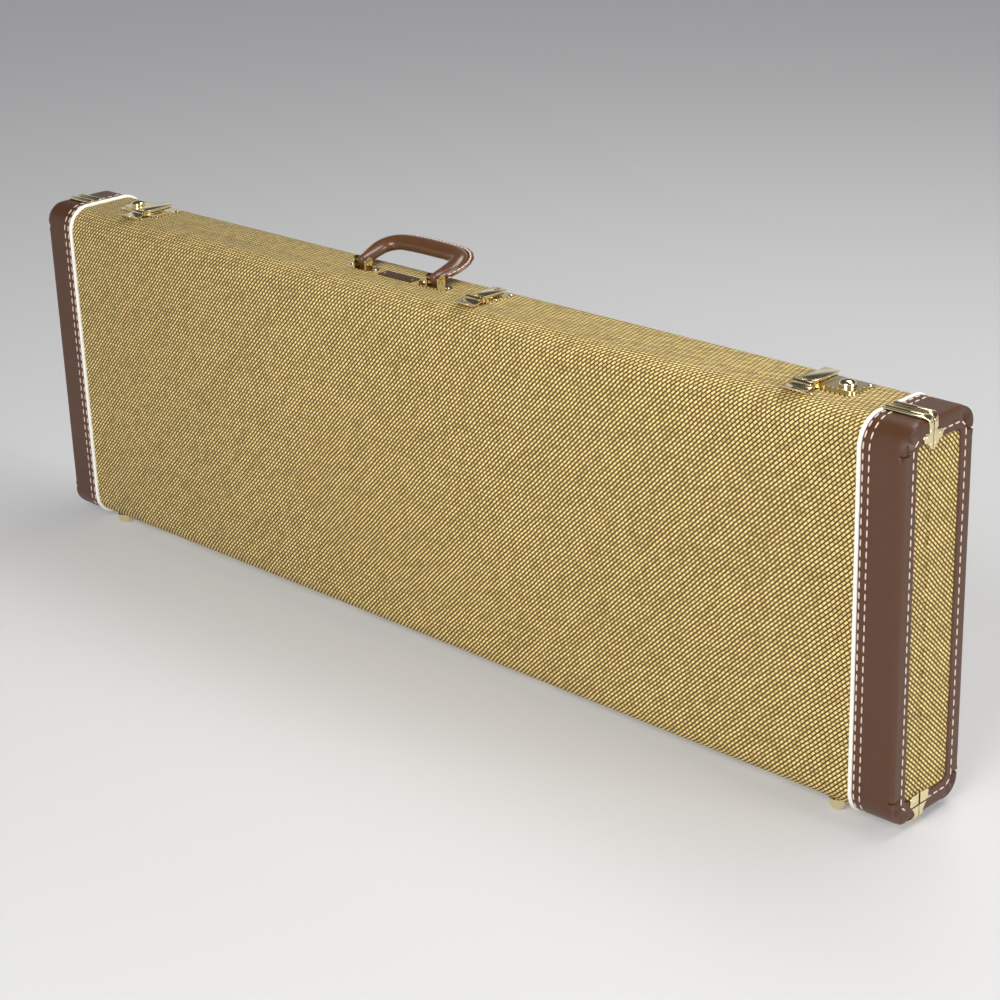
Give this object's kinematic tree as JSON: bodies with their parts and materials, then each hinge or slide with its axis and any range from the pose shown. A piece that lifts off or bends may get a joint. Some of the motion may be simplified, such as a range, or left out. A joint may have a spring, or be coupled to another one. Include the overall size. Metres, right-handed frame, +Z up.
{
  "type": "guitar case",
  "caption": "Long rectangular tweed hard case for a bass guitar, with a hinged lid, leather ends, latches and a carrying handle.",
  "frame": {"origin": "on the floor under the middle of the case, which stands on its spine", "axes": "+X along the case towards its head end, +Y towards the back, +Z up through the handle side; the lid faces -Y"},
  "size_m": [1.2224, 0.109, 0.4271],
  "materials": {
    "plywood": "raw birch plywood",
    "plush": "short-pile burgundy plush",
    "tweed": "lacquered diagonal tweed",
    "brown_leather": "semi-matt grained brown leather with pale stitching",
    "pull_leather": "matt brown leather",
    "white_piping": "smooth off-white welt",
    "badge_enamel": "satin dark brown enamel",
    "plated_gold": "polished pale gold plate"
  },
  "bodies": {
    "base": {"base_shell": "plywood", "base_lining": "plush", "base_tweed": "tweed", "base_end_panel_left": "tweed", "base_end_panel_right": "tweed", "base_binding_left": "brown_leather", "base_binding_right": "brown_leather", "base_pipings": "white_piping", "valance": "plywood", "base_hinge_leaves": "plated_gold", "hinge_pins": "plated_gold", "base_hinge_screws": "plated_gold", "base_feet": "plated_gold", "base_end_clamps": "plated_gold", "latch_plate_left": "plated_gold", "latch_plate_right": "plated_gold", "lock_plate": "plated_gold", "slide_housing_left": "plated_gold", "slide_housing_right": "plated_gold", "latch_pins": "plated_gold", "latch_rivets": "plated_gold", "handle_mounts": "plated_gold", "handle_pins": "plated_gold", "handle_rivets": "plated_gold", "blank_badge": "badge_enamel", "badge_pins": "plated_gold", "body_pad_upper": "plush", "body_pad_lower": "plush", "neck_pad_lower": "plush", "head_pad_upper": "plush", "neck_rests": "plush", "pocket_box": "plush", "pocket_hinge": "plush", "bay_cushion": "plush"},
    "lid": {"lid_shell": "plywood", "lid_lining": "plush", "lid_tweed": "tweed", "lid_end_panel_left": "tweed", "lid_end_panel_right": "tweed", "lid_binding_left": "brown_leather", "lid_binding_right": "brown_leather", "lid_pipings": "white_piping", "lid_hinge_leaves": "plated_gold", "lid_hinge_screws": "plated_gold", "lid_feet": "plated_gold", "lid_end_clamps": "plated_gold", "catch_plates": "plated_gold", "catch_rivets": "plated_gold", "lid_cushion": "plush"},
    "handle": {"handle_grip": "brown_leather", "handle_bushes": "plated_gold"},
    "lever_left": {"latch_lever_left": "plated_gold"},
    "lever_right": {"latch_lever_right": "plated_gold"},
    "lock_lever": {"lock_lever": "plated_gold"},
    "lock_plug": {"lock_cylinder": "plated_gold"},
    "knob_left": {"slide_knob_left": "plated_gold"},
    "knob_right": {"slide_knob_right": "plated_gold"},
    "pocket_lid": {"pocket_lid": "plush", "pocket_pull": "pull_leather"}
  },
  "joints": [
    {"name": "lid_hinge", "type": "hinge", "parent": "base", "child": "lid", "pos_m": [0, -0.011, 0.0061], "axis": [1, 0, 0], "range_deg": [0, 100]},
    {"name": "handle_swing", "type": "hinge", "parent": "base", "child": "handle", "pos_m": [-0.06, 0, 0.3975], "axis": [1, 0, 0], "range_deg": [0, 132]},
    {"name": "lever_left_lift", "type": "hinge", "parent": "base", "child": "lever_left", "pos_m": [-0.477, -0.016, 0.3941], "axis": [1, 0, 0], "range_deg": [0, 110]},
    {"name": "lever_right_lift", "type": "hinge", "parent": "base", "child": "lever_right", "pos_m": [0.477, -0.016, 0.3941], "axis": [1, 0, 0], "range_deg": [0, 110]},
    {"name": "lock_lever_lift", "type": "hinge", "parent": "base", "child": "lock_lever", "pos_m": [0.068, -0.016, 0.3941], "axis": [1, 0, 0], "range_deg": [0, 110]},
    {"name": "key_turn", "type": "hinge", "parent": "lock_lever", "child": "lock_plug", "pos_m": [0.068, 0.016, 0.3949], "axis": [0, 1, 0], "range_deg": [0, 90]},
    {"name": "knob_left_slide", "type": "slide", "parent": "base", "child": "knob_left", "axis": [-1, 0, 0], "range_m": [0, 0.005], "stiffness_N_per_m": 400, "springref_m": -0.003},
    {"name": "knob_right_slide", "type": "slide", "parent": "base", "child": "knob_right", "axis": [1, 0, 0], "range_m": [0, 0.005], "stiffness_N_per_m": 400, "springref_m": -0.003},
    {"name": "pocket_lid_hinge", "type": "hinge", "parent": "base", "child": "pocket_lid", "pos_m": [0.1, 0.0022, 0.3724], "axis": [-1, 0, 0], "range_deg": [0, 17]}
  ]
}
